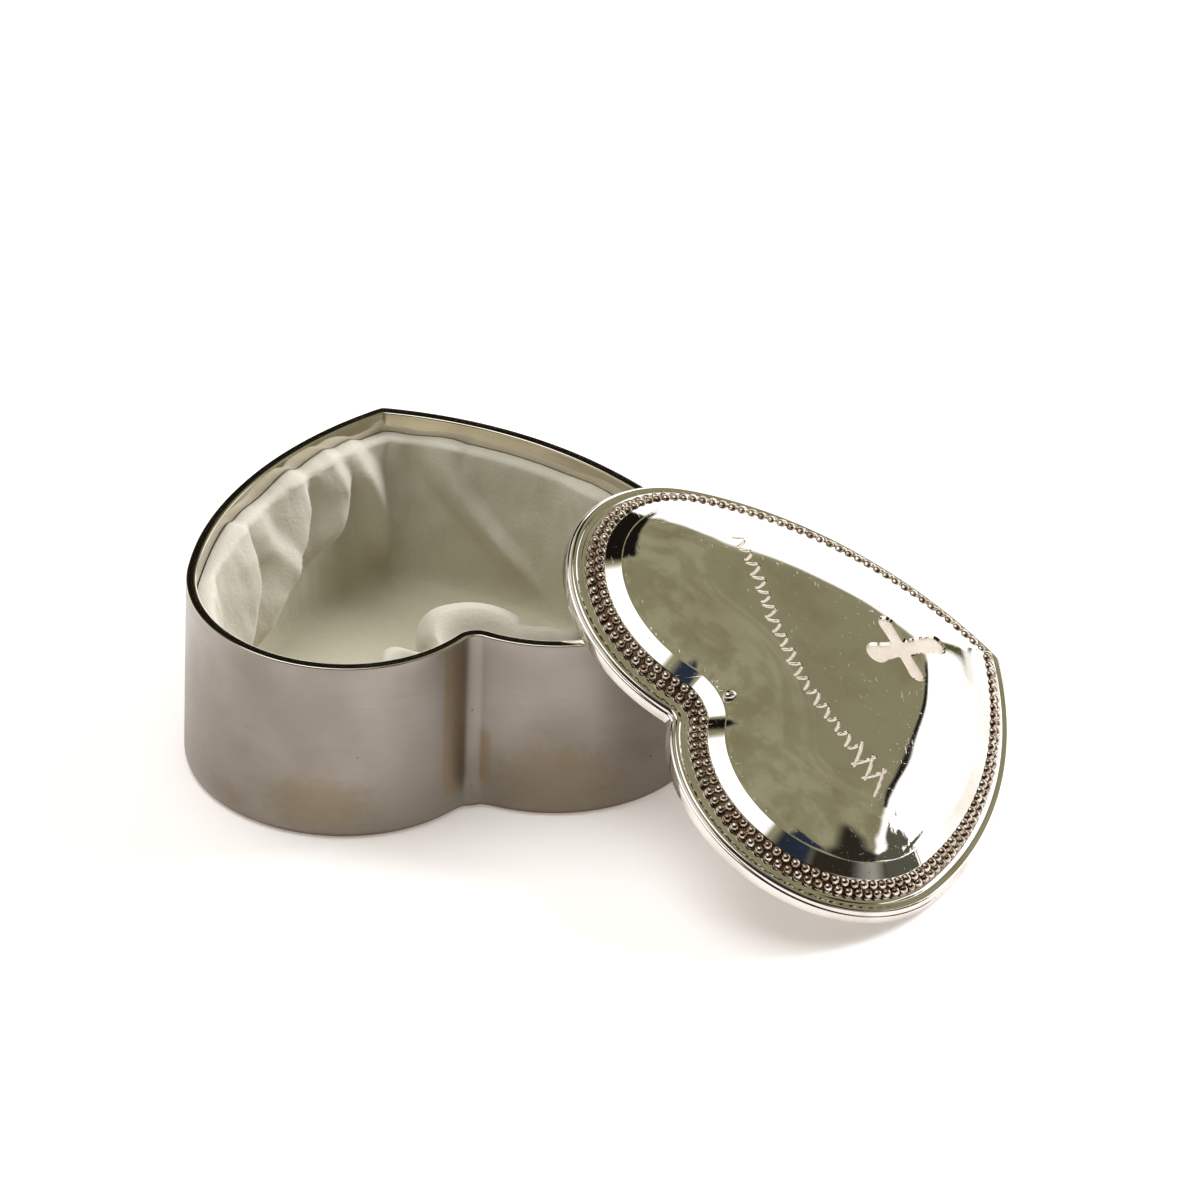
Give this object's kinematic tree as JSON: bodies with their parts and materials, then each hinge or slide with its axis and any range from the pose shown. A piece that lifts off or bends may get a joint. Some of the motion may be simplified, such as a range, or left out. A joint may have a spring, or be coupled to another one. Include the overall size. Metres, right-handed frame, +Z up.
{
  "type": "heart keepsake box",
  "caption": "Heart-shaped plated metal keepsake box with a fabric lining and a loose domed lid with a beaded border, leaning on its rim.",
  "frame": {"origin": "centre of the box's flat underside, on the surface that it stands on", "axes": "+Z up; the box's heart tip points to +Y and its cleft to -Y; the lid leans on the rim on the +X side"},
  "size_m": [0.1205, 0.1083, 0.0386],
  "materials": {
    "plated_box": "worn semi-polished plating with brown tarnish in the cleft",
    "lining_fabric": "matte off-white short-pile fabric",
    "plated_lid": "mirror-polished plating with light wear"
  },
  "bodies": {
    "root": {"box_body": "plated_box", "lining": "lining_fabric", "lid": "plated_lid"}
  },
  "joints": []
}
